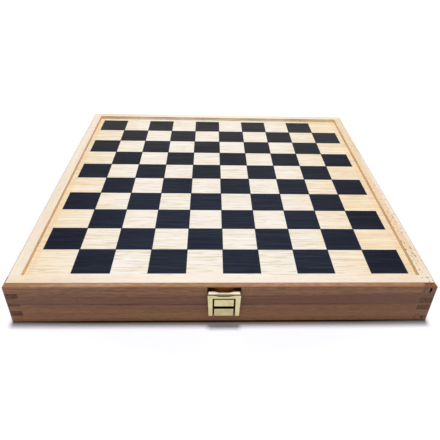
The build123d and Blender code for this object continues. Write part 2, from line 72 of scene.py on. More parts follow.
# ---- Places on the boards ----
BACK_WALL = 0.155        # where the recess's wall at the back begins, along Y
FRONT_ZONE = -0.16       # what lies before it along Y counts as the front
CHAMFER_LOW = LID_TOP - 0.00245
DARK_EDGE_LOW = (0.0002, 0.0007)          # above the chamfer's lower edge, where its darker edge ends
DARK_EDGE_HIGH = (0.0006, 0.0002)         # below the lid's top, where its darker edge begins
DULL_RISE = (0.005, 0.016)           # above the seam, where the outer faces stop being duller
SLOT_WIDE = 0.001        # the groove's open end beside the panel
SLOT_MARGIN = 0.0004     # how much wider than the groove its painted shade is, on either side
FINGER_HALF = 0.01       # from the seam to the end of the finger across it
SEAM_HALF = 0.0003       # half the height of the painted shade line between the halves
SEAM_BLUR = 0.0006
FOOT_SHADE = (0.0016, 0.0022)         # heights over which the painted shade along the foot ends
HASP_SHADE = (0.0095, 0.0024)        # half the width of the shade behind the hasp, and its height
SKIN = (0.0008, 0.0018)              # depths over which a board's inner walls begin to count as cut
CUT_DEPTH = 0.009        # the depth where they no longer do
RAIL_STRIP = (0.1605, 0.1625)        # along X, where the right rail turns pale towards its outer edge
VENEER_MIDDLE = -0.012   # along X, where the veneer is whitest
CREEP = 0.0004           # how far the ink of the dark squares has crept into the veneer
BOARD_SQUARES = 10

# ---- Places on the latch ----
WINDOW_TOP = HASP_TOP - 0.00475
WINDOW_HALF = 0.0087
WINDOW_RIM = 0.0002      # how far the painted shade in the hasp's window reaches past its edge
UNSHADED_HALF = 0.00755     # half the width of what shows without painted shade in the window
CAP_HEIGHT = (0.004, 0.003)          # below the hasp's top, where the painted shade under its cap begins
HASP_BOW = 0.0005        # the painted shade of the hasp's crease sags in its middle
BOW_REACH = (0.003, 0.009)           # from the middle to the sides, over which the sag ends
CREASE_BELOW = 0.0012    # from the hasp's top down to the end of the painted shade in its crease

# ---- Places on the games ----
RINGS = ((0.044, 0.052), (0.058, 0.066))   # painted on the sticks, from their middle
LATTICE_PITCH = 0.0034
CARD_MARGIN = 0.004
CARD_THICK = 0.0003
RULE_PITCH = 0.007
COLUMN_PITCH = 0.021
PAD_MARGIN = 0.006
PAD_GLUE = 0.008
PAPER_THICK = 0.0002

# ---- Faces, told apart by the parts of their normals ----
LEVEL = (0.8, 0.95)
STEEP = (0.4, 0.6)
CHAMFERED = (0.6, 0.8)
ENDWAYS = (0.5, 0.6)

# ---- Relief and softness ----
GRAIN_DEPTH = 0.00005
PAINT_DEPTH = 0.00003
BRASS_DEPTH = 0.00001
LEAF_DEPTH = 0.00004
PENCIL_DEPTH = 0.00002
EDGE_BLUR = 0.0001       # of a sharp edge in a colour

# ---- How the grain lies: object coordinates are turned so that it runs along X ----
ALONG = {"X": (0.0, 0.0, 0.0), "Y": (0.0, 0.0, math.radians(90)), "Z": (0.0, math.radians(90), 0.0)}
SEED_STEPS = (0.37, 0.11, 0.23)      # how far each seed shifts the grain, so that no two boards match

# ---- Colours of the boards; in a pair the pale one is first ----
INNER = (srgb(232, 190, 146), srgb(208, 156, 108))
# Outer faces: the wood's colour painted darker and browner than the tops, as painted shade
OUTER_SHADED = {"base": (srgb(234, 178, 136), srgb(190, 136, 104)),
         "lid": (srgb(248, 191, 153), srgb(173, 122, 101))}
DULL = {"base": 0.3, "lid": 0.8}     # how much deeper the outer face is at the seam
# The front and back boards' chamfer: painted darker and browner than the top, as painted shade
CHAMFER = (srgb(222, 184, 152), srgb(180, 136, 102))
# Tops: the wood painted paler, as painted light
FRONT_TOP = (srgb(238, 228, 213), srgb(230, 213, 193))
LEFT_TOP = (srgb(236, 224, 208), srgb(228, 211, 188))
RIGHT_TOP = (srgb(233, 211, 178), srgb(218, 192, 155))
TOPS = {"front": FRONT_TOP, "right": RIGHT_TOP, "back": LEFT_TOP, "left": LEFT_TOP}
TOP_MIDDLE = srgb(247, 240, 230)
TOP_END = srgb(228, 205, 168)
# End grain: darker than the faces, and painted darker still as shade, as the outer faces are
END = (srgb(152, 104, 70), srgb(109, 60, 35))
END_FAINT = (srgb(206, 152, 122), srgb(164, 116, 94))
END_CHAMFER = (srgb(170, 106, 64), srgb(117, 72, 44))
# Painted light on the walls round the playing surface
LIP_LIT = srgb(255, 228, 186)
BACK_LIP_LIT = (srgb(255, 250, 232), srgb(255, 230, 192))    # painted light on the back wall: low down, and further up
OLIVE = srgb(251, 252, 242)          # this tint and the next are multiplied into the wood
PINK = srgb(255, 245, 246)
EDGE = srgb(150, 92, 52)
# Painted shade on walls cut into the boards, along the foot and behind the hasp; the next is painted
# light in the mortise
CUT_SHADE = srgb(84, 43, 16)
CUT_LIT = srgb(196, 126, 64)
PORE = srgb(146, 104, 84)
# Painted shade of the gap between the halves
SEAM_SHADE = srgb(118, 42, 14)
# Painted shade in the open end of the panel's groove
SLOT_SHADE = srgb(34, 22, 16)

# ---- Colours of the playing surface ----
VENEER = (srgb(238, 233, 226), srgb(240, 224, 197))      # in the middle, and to the sides
VENEER_STREAK = srgb(234, 222, 202)
VENEER_BANDS = (srgb(214, 198, 164), srgb(232, 198, 156))
VENEER_LINE = srgb(204, 183, 152)
# Painted shade along the veneer's rim under the lip
VENEER_RIM_SHADE = srgb(204, 160, 110)
# The ink's tones: to the front, in the middle, to the sides and to the back, where their greyer tone is
# a painted sheen
INK = (srgb(20, 27, 41), srgb(17, 22, 31), srgb(6, 10, 24), srgb(35, 34, 38))
INK_FADED = (srgb(40, 45, 58), srgb(37, 40, 48), srgb(28, 31, 45), srgb(52, 51, 54))

# ---- Colours of the latch and the games ----
BRASS = (srgb(219, 208, 165), srgb(205, 192, 143))
KEEPER_BRASS = (srgb(200, 190, 146), srgb(185, 174, 124))
# Painted highlights on the hasp's cap, then painted shade in its crease
CAP_TOP_HIGHLIGHT = srgb(226, 216, 203)
CAP_HIGHLIGHT = srgb(176, 164, 140)
CREASE_SHADE = srgb(86, 72, 32)
CREASE_SHADE_DEEP = srgb(56, 42, 4)
# Painted shade in the latch's gaps and where the hasp hides its plates
RECESS_SHADE = srgb(60, 45, 7)
PAWN_TONES = {"red": (srgb(188, 40, 34), srgb(150, 26, 24)),
              "yellow": (srgb(232, 186, 50), srgb(202, 152, 34)),
              "green": (srgb(42, 128, 66), srgb(28, 98, 48)),
              "blue": (srgb(40, 82, 158), srgb(28, 58, 122))}

# ---- The sockets of Blender's Mix node that hold colours ----
MIX_FIRST = 6
MIX_SECOND = 7
MIX_RESULT = 2


class Shading:
    """A node tree being built, with short calls for the nodes in it."""

    def __init__(self, tree):
        self.tree = tree

    def new(self, kind, **settings):
        """A new node with its settings made."""
        node = self.tree.nodes.new(kind)
        for name, value in settings.items():
            setattr(node, name, value)
        return node

    def feed(self, socket, value):
        """Links an input to another node's output, or sets it."""
        if isinstance(value, bpy.types.NodeSocket):
            self.tree.links.new(value, socket)
        else:
            socket.default_value = value

    @cached_property
    def coords(self):
        """Coordinates of the surface."""
        return self.new("ShaderNodeTexCoord").outputs

    @cached_property
    def point(self):
        """Place on the surface, by axis."""
        return self.split(self.coords["Object"])

    @cached_property
    def normal(self):
        """Direction that the surface faces, by axis."""
        return self.split(self.coords["Normal"])

    def split(self, vector):
        """A vector's parts, by axis."""
        node = self.new("ShaderNodeSeparateXYZ")
        self.feed(node.inputs[0], vector)
        return node.outputs

    def math(self, operation, first, second=0.0, clamp=False):
        """One step of arithmetic."""
        node = self.new("ShaderNodeMath", operation=operation, use_clamp=clamp)
        self.feed(node.inputs[0], first)
        self.feed(node.inputs[1], second)
        return node.outputs[0]

    def plus(self, first, second, clamp=False):
        """The sum of two values, kept from 0 to 1 if clamped."""
        return self.math("ADD", first, second, clamp)

    def minus(self, first, second):
        """The difference of two values."""
        return self.math("SUBTRACT", first, second)

    def times(self, first, *more):
        """The product of values; of masks, 1 only where all of them are."""
        for factor in more:
            first = self.math("MULTIPLY", first, factor)
        return first

    def larger(self, first, second):
        """The larger of two values."""
        return self.math("MAXIMUM", first, second)

    def size(self, value):
        """A value without its sign."""
        return self.math("ABSOLUTE", value)

    @cached_property
    def aside(self):
        """Distance from the middle along X."""
        return self.size(self.point["X"])

    @cached_property
    def reach(self):
        """The larger of the distances from the middle along X and Y."""
        return self.larger(self.aside, self.size(self.point["Y"]))

    def span(self, value, low, high, to_low=0.0, to_high=1.0, way="LINEAR"):
        """The value's way from low to high, as a number from to_low to to_high."""
        node = self.new("ShaderNodeMapRange", clamp=True, interpolation_type=way)
        self.feed(node.inputs["Value"], value)
        self.feed(node.inputs["From Min"], low)
        self.feed(node.inputs["From Max"], high)
        self.feed(node.inputs["To Min"], to_low)
        self.feed(node.inputs["To Max"], to_high)
        return node.outputs[0]

    def near(self, value, low, high, soft):
        """1 between low and high, falling to 0 over a soft margin on either side."""
        return self.times(self.span(value, low - soft, low),
                          self.span(value, high, high + soft, 1.0, 0.0))

    def mix(self, amount, first, second, blend="MIX"):
        """A colour between first and second."""
        node = self.new("ShaderNodeMix", data_type="RGBA", blend_type=blend)
        self.feed(node.inputs["Factor"], amount)
        self.feed(node.inputs[MIX_FIRST], first)
        self.feed(node.inputs[MIX_SECOND], second)
        return node.outputs[MIX_RESULT]


class Finish(Shading):
    """A material being built round its shader."""

    def __init__(self, name):
        self.material = bpy.data.materials.new(name)
        self.material.use_nodes = True
        super().__init__(self.material.node_tree)
        self.shader = self.tree.nodes["Principled BSDF"]

    def set(self, socket, value):
        """Sets or links one input of the shader."""
        self.feed(self.shader.inputs[socket], value)

    @cached_property
    def is_steep(self):
        """1 on upright faces, 0 on level ones."""
        return self.span(self.size(self.normal["Z"]), *STEEP, 1, 0)

    def noise(self, stretch, detail, distortion=0.0, axis="X", shift=(0.0, 0.0, 0.0)):
        """Noise with its cells counted to the metre, along the grain first and then across it."""
        laid = self.new("ShaderNodeMapping", vector_type="POINT")
        self.feed(laid.inputs["Vector"], self.coords["Object"])
        self.feed(laid.inputs["Rotation"], ALONG[axis])
        self.feed(laid.inputs["Location"], shift)
        stretched = self.new("ShaderNodeVectorMath", operation="MULTIPLY")
        self.feed(stretched.inputs[0], laid.outputs[0])
        self.feed(stretched.inputs[1], stretch)
        node = self.new("ShaderNodeTexNoise")
        self.feed(node.inputs["Vector"], stretched.outputs[0])
        self.feed(node.inputs["Scale"], 1.0)
        self.feed(node.inputs["Detail"], detail)
        self.feed(node.inputs["Distortion"], distortion)
        return node.outputs["Fac"]

    def bump(self, height, depth, strength):
        """Relief of a depth in metres where height is 1."""
        node = self.new("ShaderNodeBump")
        self.feed(node.inputs["Height"], height)
        self.feed(node.inputs["Distance"], depth)
        self.feed(node.inputs["Strength"], strength)
        self.set("Normal", node.outputs[0])


Grain = namedtuple("Grain", "streaks bands fibres pores")


def grain(finish, axis, seed):
    """Streaks, bands, fibres and pores along an axis, each from 0 to 1."""
    place = {"axis": axis, "shift": tuple(seed * step for step in SEED_STEPS)}
    streaks = finish.noise((8, 380, 380), 4, 0.8, **place)
    bands = finish.noise((2.2, 60, 60), 2, 0.8, **place)
    fibres = finish.noise((30, 1100, 1100), 2, **place)
    pores = finish.noise((170, 1500, 1500), 1, **place)
    return Grain(finish.span(streaks, 0.4, 0.62), finish.span(bands, 0.38, 0.64),
                 finish.span(fibres, 0.34, 0.66), finish.span(pores, 0.6, 0.7))


def weighed(finish, lines, streak, band):
    """How deep the colour is, from the streaks and bands of the grain."""
    return finish.plus(finish.times(lines.streaks, streak), finish.times(lines.bands, band), clamp=True)


def surface(finish, lines, low, high):
    """Fibres and pores in the shine, from low to high roughness, and in the relief."""
    finish.set("Roughness", finish.span(lines.fibres, 0, 1, low, high))
    finish.set("Specular IOR Level", 0.3)
    finish.bump(finish.minus(lines.fibres, lines.pores), GRAIN_DEPTH, 0.5)


def wood(name, pale, deep, axis="X", seed=0.0, roughness=0.5, streak=0.6, band=0.35, pore=0.35):
    """Plain sanded wood with its grain along an axis."""
    finish = Finish(name)
    lines = grain(finish, axis, seed)
    colour = finish.mix(weighed(finish, lines, streak, band), pale, deep)
    colour = finish.mix(finish.times(lines.pores, pore), colour, deep)
    finish.set("Base Color", colour)
    surface(finish, lines, roughness - 0.08, roughness + 0.1)
    return finish.material


# ---- Side boards ----
class Board(Finish):
    """The wood of a side board: masks of its faces, and marks laid over a colour one by one."""

    def __init__(self, name, axis, seed):
        super().__init__(name)
        self.axis = axis
        self.seed = seed
        self.lines = grain(self, axis, seed)
        flecks = self.span(self.noise((120, 900, 900), 2, axis=axis), 0.3, 0.7, -0.35, 0.35)
        self.amount = self.plus(weighed(self, self.lines, 0.5, 0.5), flecks, clamp=True)
        self.outward = self.plus(self.times(self.normal["X"], self.point["X"]),
                                 self.times(self.normal["Y"], self.point["Y"]))
        self.is_outer = self.span(self.outward, 0.02, 0.08)
        self.is_top = self.span(self.size(self.normal["Z"]), *LEVEL)
        self.is_chamfer = self.near(self.normal["Z"], *CHAMFERED, 0.05)
        is_along = self.span(self.size(self.normal[axis]), *ENDWAYS)
        self.is_end = self.times(is_along, self.is_outer)
        self.to_right = self.span(self.point["X"], 0.02, 0.13, 0, 0.5)

    def sides(self, outer, dull):
        """Warm within; browner without as painted shade, and duller down to the seam and to the right.
        """
        to_seam = self.span(self.point["Z"], SEAM + DULL_RISE[0], SEAM + DULL_RISE[1], dull, 0.0)
        outer_amount = self.plus(self.times(self.amount, 0.8), to_seam)
        outer_amount = self.plus(outer_amount, self.times(self.to_right, 0.4), clamp=True)
        return self.mix(self.is_outer, self.mix(self.amount, *INNER), self.mix(outer_amount, *outer))

    def bevel(self, colour, tones, edge_darkening):
        """The lid's chamfer, deeper to its ends, with its two edges darker brown."""
        to_left = self.span(self.point["X"], -0.15, -0.11, 0.35, 0)
        to_ends = self.plus(self.to_right, to_left)
        bevel = self.mix(self.plus(self.amount, to_ends, clamp=True), *tones)
        colour = self.mix(self.is_chamfer, colour, bevel)
        over = self.minus(self.point["Z"], CHAMFER_LOW)
        under = self.minus(LID_TOP, self.point["Z"])
        low_edge = self.span(over, *DARK_EDGE_LOW, 0.7, 0.0)
        high_edge = self.span(under, *DARK_EDGE_HIGH, 0.0, 0.4)
        dark_edge = self.times(self.larger(low_edge, high_edge), self.is_chamfer)
        return self.mix(self.times(dark_edge, edge_darkening), colour, EDGE)

    def lip(self, colour):
        """The wall round the playing surface, painted pale as light, less so at the foot of the sides
        as painted shade; palest low down at the back.
        """
        above = self.span(self.point["Z"], PLAYING - 0.0002, PLAYING)
        lip = self.span(self.point["Z"], PLAYING, PLAYING + 0.002, 0.6, 1)
        behind = self.span(self.point["Y"], BACK_WALL, BACK_WALL + 0.0005)
        is_inner = self.span(self.outward, 0, 0.02, 1, 0)
        lip = self.times(self.larger(lip, behind), above, is_inner)
        back_lip_lit = self.mix(self.span(self.point["Z"], PLAYING + 0.0005, PLAYING + 0.003), *BACK_LIP_LIT)
        return self.mix(lip, colour, self.mix(behind, LIP_LIT, back_lip_lit))

    def top(self, colour, tones):
        """The top face: its front corners are toned as the front board is."""
        back = self.span(self.point["Y"], FRONT_ZONE, FRONT_ZONE + 0.04)
        top = self.mix(back, self.mix(self.amount, *FRONT_TOP), self.mix(self.amount, *tones))
        return self.mix(self.is_top, colour, top)

    def paler_middle(self, colour):
        """The top of a front or back board, paler in its middle and warmer at its ends."""
        pale = self.times(self.span(self.aside, 0.03, 0.12, 0.5, 0), self.is_top)
        colour = self.mix(pale, colour, TOP_MIDDLE)
        warm = self.times(self.span(self.aside, 0.11, 0.145, 0, 0.3), self.is_top)
        return self.mix(warm, colour, TOP_END)

    def patches(self, colour):
        """Long patches of a faint olive or pink tint, fainter on top."""
        patches = self.noise((24, 130, 130), 2, axis=self.axis, shift=(self.seed, self.seed, self.seed))
        tint = self.mix(self.span(patches, 0.36, 0.64), OLIVE, PINK)
        return self.mix(self.span(self.is_top, 0, 1, 1.0, 0.6), colour, tint, "MULTIPLY")

    def ends(self, colour, tones):
        """End grain of the fingers, with painted shade in its tones: the one across the seam is always
        dark.
        """
        mottle = self.noise((620, 620, 620), 2, shift=(self.seed, self.seed, self.seed))
        mottle = self.span(mottle, 0.35, 0.62)
        near_seam = self.near(self.point["Z"], SEAM - FINGER_HALF, SEAM + FINGER_HALF, 0.0005)
        patch = self.mix(near_seam, self.mix(mottle, *tones), self.mix(mottle, *END))
        mottled = self.mix(self.is_chamfer, patch, self.mix(mottle, *END_CHAMFER))
        return self.mix(self.is_end, colour, mottled)

    def slot(self, colour):
        """Painted shade in the open end of the panel's groove in a board's end."""
        beyond = self.span(self.reach, PANEL_HALF - 2 * EDGE_BLUR, PANEL_HALF - EDGE_BLUR)
        wide = self.near(self.aside, PANEL_HALF - SLOT_MARGIN, PANEL_HALF + SLOT_WIDE + SLOT_MARGIN,
                         EDGE_BLUR)
        tall = self.near(self.point["Z"], PANEL_LOW - 0.0006, PLAYING + 0.0003, 2 * EDGE_BLUR)
        return self.mix(self.times(beyond, wide, tall, self.is_end), colour, SLOT_SHADE)

    def cuts(self, colour):
        """Walls cut into the board behind its outer skin: painted shade, and painted light in the
        mortise over the latch.
        """
        behind_skin = self.span(self.outward, BOX_HALF - SKIN[1], BOX_HALF - SKIN[0], 1, 0)
        in_board = self.span(self.reach, BOX_HALF - CUT_DEPTH, BOX_HALF - CUT_DEPTH + 0.0005)
        middle = self.span(self.aside, 0.003, 0.009, 1, 0)
        is_cut = self.times(self.is_steep, behind_skin, in_board)
        return self.mix(is_cut, colour, self.mix(middle, CUT_SHADE, CUT_LIT))

    def seam(self, colour):
        """Painted shade of the gap between the halves, uneven and fading to the board's ends."""
        seam = self.near(self.point["Z"], SEAM - SEAM_HALF, SEAM + SEAM_HALF, SEAM_BLUR)
        to_ends = self.span(self.size(self.point[self.axis]), 0.1, 0.155, 0.95, 0.1)
        uneven = self.span(self.noise((26, 26, 26), 1), 0.4, 0.6, 0.5, 1.25)
        fade = self.times(to_ends, uneven)
        return self.mix(self.times(seam, fade, self.is_outer), colour, SEAM_SHADE)

    def dark_lines(self, colour):
        """Painted shade: a dark line along the foot, and the shade behind the hasp under the seam."""
        foot = self.span(self.point["Z"], *FOOT_SHADE, 0.85, 0)
        half_width, height = HASP_SHADE
        tall = self.near(self.point["Z"], SEAM - height, SEAM, 2 * EDGE_BLUR)
        wide = self.span(self.aside, half_width, half_width + 0.0005, 1, 0)
        at_front = self.span(self.point["Y"], FRONT_ZONE, FRONT_ZONE + 0.001, 1, 0)
        shade = self.times(tall, wide, at_front)
        return self.mix(self.times(self.larger(foot, shade), self.is_outer), colour, CUT_SHADE)

    def pores(self, colour):
        """Brown pores, fainter on top."""
        share = self.span(self.is_top, 0, 1, 0.4, 0.15)
        return self.mix(self.times(self.lines.pores, share), colour, PORE)

    def right_rail(self, colour):
        """The right rail's pale outer strip and its specks, most of them towards the front."""
        strip = self.span(self.point["X"], *RAIL_STRIP, 0, 0.5)
        strip = self.times(strip, self.near(self.point["Y"], -0.1, 0.03, 0.04), self.is_top)
        colour = self.mix(strip, colour, TOP_MIDDLE)
        specks = self.span(self.noise((330, 420, 420), 1, axis=self.axis), 0.61, 0.65, 0, 0.7)
        specks = self.times(specks, self.span(self.point["Y"], -0.08, 0.0, 1, 0.3), self.is_top)
        return self.mix(specks, colour, PORE)


def board_wood(name, axis, seed, top, outer, end, dull):
    """A side board: pale on top and browner outside as painted light and shade, darker in its end
    grain, painted shade in its cuts.
    """
    board = Board(name, axis, seed)
    crosswise = axis == "X"
    colour = board.sides(outer, dull)
    if crosswise:
        # CHAMFER is painted shade on the front and back boards' chamfers
        colour = board.bevel(colour, CHAMFER, edge_darkening=1.0)
    else:
        colour = board.bevel(colour, top, edge_darkening=0.15)
    colour = board.top(board.lip(colour), top)
    if crosswise:
        colour = board.paler_middle(colour)
    colour = board.ends(board.patches(colour), end)
    colour = board.cuts(board.slot(colour))
    colour = board.dark_lines(board.seam(colour))
    colour = board.pores(colour)
    if top == RIGHT_TOP:
        colour = board.right_rail(colour)
    board.set("Base Color", colour)
    surface(board, board.lines, 0.38, 0.55)
    return board.material


# ---- Playing surface ----
def ink(finish):
    """Black print, greyer to the back as a painted sheen and darker to the sides, with the grain
    faintly in it.
    """
    wavy = finish.noise((25, 800, 800), 3, 1.2)
    sheen_to_back = finish.span(finish.point["Y"], 0.05, 0.14)
    to_sides = finish.span(finish.aside, 0.07, 0.14)
    to_middle = finish.span(finish.point["Y"], -0.05, 0.03)

    def toned(front, middle, side, back):
        """The four tones of one depth of ink, each in its part of the board."""
        tone = finish.mix(to_sides, finish.mix(to_middle, front, middle), side)
        return finish.mix(sheen_to_back, tone, back)

    return finish.mix(finish.span(wavy, 0.42, 0.64), toned(*INK), toned(*INK_FADED))


def crept(finish):
    """Where the ink has crept into the veneer round the dark squares."""
    low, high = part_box("dark_squares")
    half = (high[0] - low[0]) / 2
    place = [finish.minus(finish.point["XY"[i]], (low[i] + high[i]) / 2) for i in (0, 1)]
    dark = 0.0
    for shifts in ((CREEP, 0), (-CREEP, 0), (0, CREEP), (0, -CREEP)):
        cell = finish.new("ShaderNodeCombineXYZ")
        for socket, part, shift in zip(cell.inputs, place, shifts):
            finish.feed(socket, finish.span(finish.plus(part, shift), -half, half, -half, half))
        squares = finish.new("ShaderNodeTexChecker")
        finish.feed(squares.inputs["Vector"], cell.outputs[0])
        finish.feed(squares.inputs["Scale"], BOARD_SQUARES / (2 * half))
        dark = finish.larger(dark, squares.outputs["Fac"])
    edge = half + CREEP
    for part in place:
        dark = finish.times(dark, finish.span(finish.size(part), edge, edge + EDGE_BLUR, 1, 0))
    return dark


def veneer():
    """Pale veneer, whiter in the middle, with fine wavy lines in two tints."""
    finish = Finish("veneer")
    lines = grain(finish, "X", 2.0)
    away = finish.span(finish.size(finish.minus(finish.point["X"], VENEER_MIDDLE)), 0.08, 0.14)
    tint = finish.mix(away, VENEER_STREAK, finish.mix(lines.bands, *VENEER_BANDS))
    colour = finish.mix(finish.times(lines.streaks, 0.7), finish.mix(away, *VENEER), tint)
    wavy = finish.noise((34, 760, 760), 3, 1.3)
    colour = finish.mix(finish.span(wavy, 0.5, 0.64, 0, 0.75), colour, VENEER_LINE)
    # painted shade along the rim, under the lip
    rim = finish.span(finish.aside, 0.1495, 0.151, 0, 0.15)
    colour = finish.mix(rim, colour, VENEER_RIM_SHADE)
    finish.set("Base Color", finish.mix(crept(finish), colour, ink(finish)))
    surface(finish, lines, 0.42, 0.58)
    return finish.material


def printed_black():
    """Black print over veneer."""
    finish = Finish("black_print")
    finish.set("Base Color", ink(finish))
    surface(finish, grain(finish, "X", 3.0), 0.42, 0.55)
    finish.set("Specular IOR Level", 0.05)
    return finish.material


# ---- Brass ----
def plate_shade(finish, colour, rough):
    """Painted shade on the latch's plates where the hasp hides them, below its cap."""
    turned_away = finish.span(finish.size(finish.normal["Y"]), 0.6, 0.85, 1, 0)
    behind = finish.span(finish.point["Y"], LATCH_FRONT + 0.0005, LATCH_FRONT + 0.0008)
    beside = finish.span(finish.aside, UNSHADED_HALF - EDGE_BLUR, UNSHADED_HALF)
    hidden = finish.larger(finish.larger(turned_away, behind), beside)
    below_cap = finish.span(finish.point["Z"], HASP_TOP - CAP_HEIGHT[0], HASP_TOP - CAP_HEIGHT[1], 1, 0)
    return finish.mix(finish.times(hidden, below_cap), colour, RECESS_SHADE), rough


def bent(finish, colour, rough):
    """Painted highlight on the hasp's cap; painted shade in its sagging crease, its window and its
    sides.
    """
    bow = finish.span(finish.aside, *BOW_REACH, HASP_BOW, 0, "SMOOTHSTEP")
    down = finish.minus(HASP_TOP, finish.point["Z"])
    top = finish.mix(finish.span(down, 0, 0.0003), CAP_TOP_HIGHLIGHT, CAP_HIGHLIGHT)
    top = finish.mix(finish.span(bow, 0, HASP_BOW, 0, 0.3), top, CREASE_SHADE)
    down = finish.minus(down, bow)
    colour = finish.mix(finish.span(down, 0.0005, 0.0007, 1, 0), colour, top)
    rough = finish.plus(rough, finish.span(down, 0.0003, 0.0008, 0.3, 0))
    thick = finish.plus(finish.times(bow, 1.2), CREASE_BELOW)
    crease = finish.times(finish.span(down, 0.0004, 0.0007),
                          finish.span(finish.minus(down, thick), 0, 0.0003, 1, 0))
    colour = finish.mix(crease, colour, finish.mix(finish.span(bow, 0, HASP_BOW), CREASE_SHADE, CREASE_SHADE_DEEP))
    sides = finish.span(finish.size(finish.normal["X"]), 0.6, 0.8)
    rim = WINDOW_RIM + EDGE_BLUR
    within = finish.span(finish.aside, WINDOW_HALF + WINDOW_RIM, WINDOW_HALF + rim, 1, 0)
    below = finish.span(finish.point["Z"], WINDOW_TOP + WINDOW_RIM, WINDOW_TOP + rim, 1, 0)
    return finish.mix(finish.larger(sides, finish.times(within, below)), colour, RECESS_SHADE), rough


def brass(name, tones=BRASS, painted_light=None):
    """Rolled brass: a soft warm shine and drawn lines, with light and shade painted on by the step
    given.
    """
    finish = Finish(name)
    finish.set("Metallic", 1.0)
    smudge = finish.noise((160, 160, 160), 2, 0.4)
    colour = finish.mix(finish.span(smudge, 0.35, 0.7), *tones)
    rough = finish.span(smudge, 0.3, 0.7, 0.4, 0.5)
    if painted_light:
        colour, rough = painted_light(finish, colour, rough)
    finish.set("Base Color", colour)
    finish.set("Roughness", rough)
    finish.bump(finish.noise((120, 120, 2600), 2), BRASS_DEPTH, 0.2)
    return finish.material


# ---- Games ----
def turned(name, pale, deep, axis="Z", roughness=0.35):
    """Small turned or cut pieces, stained or painted over wood."""
    return wood(name, pale, deep, axis, 5.0, roughness, streak=0.5, band=0.3, pore=0.3)


def paint(name, colour, roughness=0.3):
    """Dried paint or cast resin with faint cloudiness."""
    finish = Finish(name)
    cloud = finish.noise((300, 300, 300), 3)
    darker = tuple(part * 0.82 for part in colour[:3]) + (1.0,)
    finish.set("Base Color", finish.mix(cloud, colour, darker))
    finish.set("Roughness", finish.span(cloud, 0.3, 0.7, roughness - 0.06, roughness + 0.08))
    finish.bump(cloud, PAINT_DEPTH, 0.4)
    return finish.material


def inside(finish, node, margin):
    """1 within a margin of a node's sides, seen from above."""
    low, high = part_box(node)
    within_x = finish.near(finish.point["X"], low[0] + margin, high[0] - margin, EDGE_BLUR)
    within_y = finish.near(finish.point["Y"], low[1] + margin, high[1] - margin, EDGE_BLUR)
    return finish.times(within_x, within_y)


def stripes(finish, value, pitch, share):
    """Lines at a pitch along a value: 1 over their share of it."""
    half = pitch / 2 * share
    return finish.span(finish.math("PINGPONG", value, pitch / 2), half * 0.8, half * 1.2, 1, 0)


def stack(name, paper, edge, leaf, roughness, printed):
    """A stack of leaves: printed on top, its layers showing at the sides."""
    finish = Finish(name)
    finish.set("Roughness", roughness)
    layers = finish.noise((30, 30, 1 / leaf), 1)
    soil = finish.noise((60, 60, 60), 3)
    sheet = finish.mix(finish.span(soil, 0.3, 0.7), paper, tuple(0.95 * part for part in paper))
    layered = finish.mix(finish.span(layers, 0.4, 0.6), paper, edge)
    finish.set("Base Color", finish.mix(finish.is_steep, printed(finish, sheet), layered))
    finish.bump(layers, LEAF_DEPTH, 0.5)
    return finish.material


def card_back(finish, sheet):
    """A blue lattice inside a white margin."""
    rising = finish.plus(finish.point["X"], finish.point["Y"])
    falling = finish.minus(finish.point["X"], finish.point["Y"])
    lattice = finish.larger(stripes(finish, rising, LATTICE_PITCH, 0.3),
                            stripes(finish, falling, LATTICE_PITCH, 0.3))
    blue = finish.mix(lattice, srgb(36, 66, 142), srgb(206, 212, 230))
    return finish.mix(inside(finish, "card_pack", CARD_MARGIN), sheet, blue)


def ruled(finish, sheet):
    """Blue-grey rules both ways, and a glued strip along the head of the pad."""
    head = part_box("pad_sheets")[1][1]
    rules = finish.larger(stripes(finish, finish.point["Y"], RULE_PITCH, 0.05),
                          stripes(finish, finish.point["X"], COLUMN_PITCH, 0.02))
    rules = finish.times(rules, inside(finish, "pad_sheets", PAD_MARGIN), 0.6)
    colour = finish.mix(rules, sheet, srgb(120, 140, 176))
    strip = finish.span(finish.point["Y"], head - PAD_GLUE - 2 * EDGE_BLUR, head - PAD_GLUE)
    return finish.mix(strip, colour, srgb(150, 44, 40))


def pencil_finish():
    """A painted pencil, with bare wood on its sharpened cone."""
    finish = Finish("pencil_paint")
    lines = grain(finish, "Y", 9.0)
    slope = finish.size(finish.normal["Y"])
    bare = finish.mix(lines.streaks, srgb(226, 190, 142), srgb(202, 160, 110))
    painted = finish.mix(lines.fibres, srgb(216, 164, 40), srgb(204, 150, 34))
    finish.set("Base Color", finish.mix(finish.span(slope, 0.05, 0.1), painted, bare))
    finish.set("Roughness", finish.span(slope, 0.05, 0.1, 0.3, 0.65))
    finish.bump(lines.fibres, PENCIL_DEPTH, 0.3)
    return finish.material


def stick_finish():
    """Pointed wooden sticks with two rings painted towards each end."""
    finish = Finish("stick_wood")
    lines = grain(finish, "Y", 10.0)
    colour = finish.mix(weighed(finish, lines, 0.5, 0.4), srgb(230, 200, 152), srgb(204, 166, 114))
    low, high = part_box("pick_up_sticks")
    away = finish.size(finish.minus(finish.point["Y"], (low[1] + high[1]) / 2))
    which = finish.noise((420, 1, 420), 0)
    ring = finish.mix(finish.span(which, 0.47, 0.48), srgb(40, 84, 158), srgb(188, 40, 34))
    second = finish.mix(finish.span(which, 0.55, 0.56), srgb(40, 132, 70), srgb(226, 178, 48))
    for place, tone in zip(RINGS, (ring, second)):
        colour = finish.mix(finish.near(away, *place, 2 * EDGE_BLUR), colour, tone)
    finish.set("Base Color", colour)
    surface(finish, lines, 0.4, 0.55)
    return finish.material


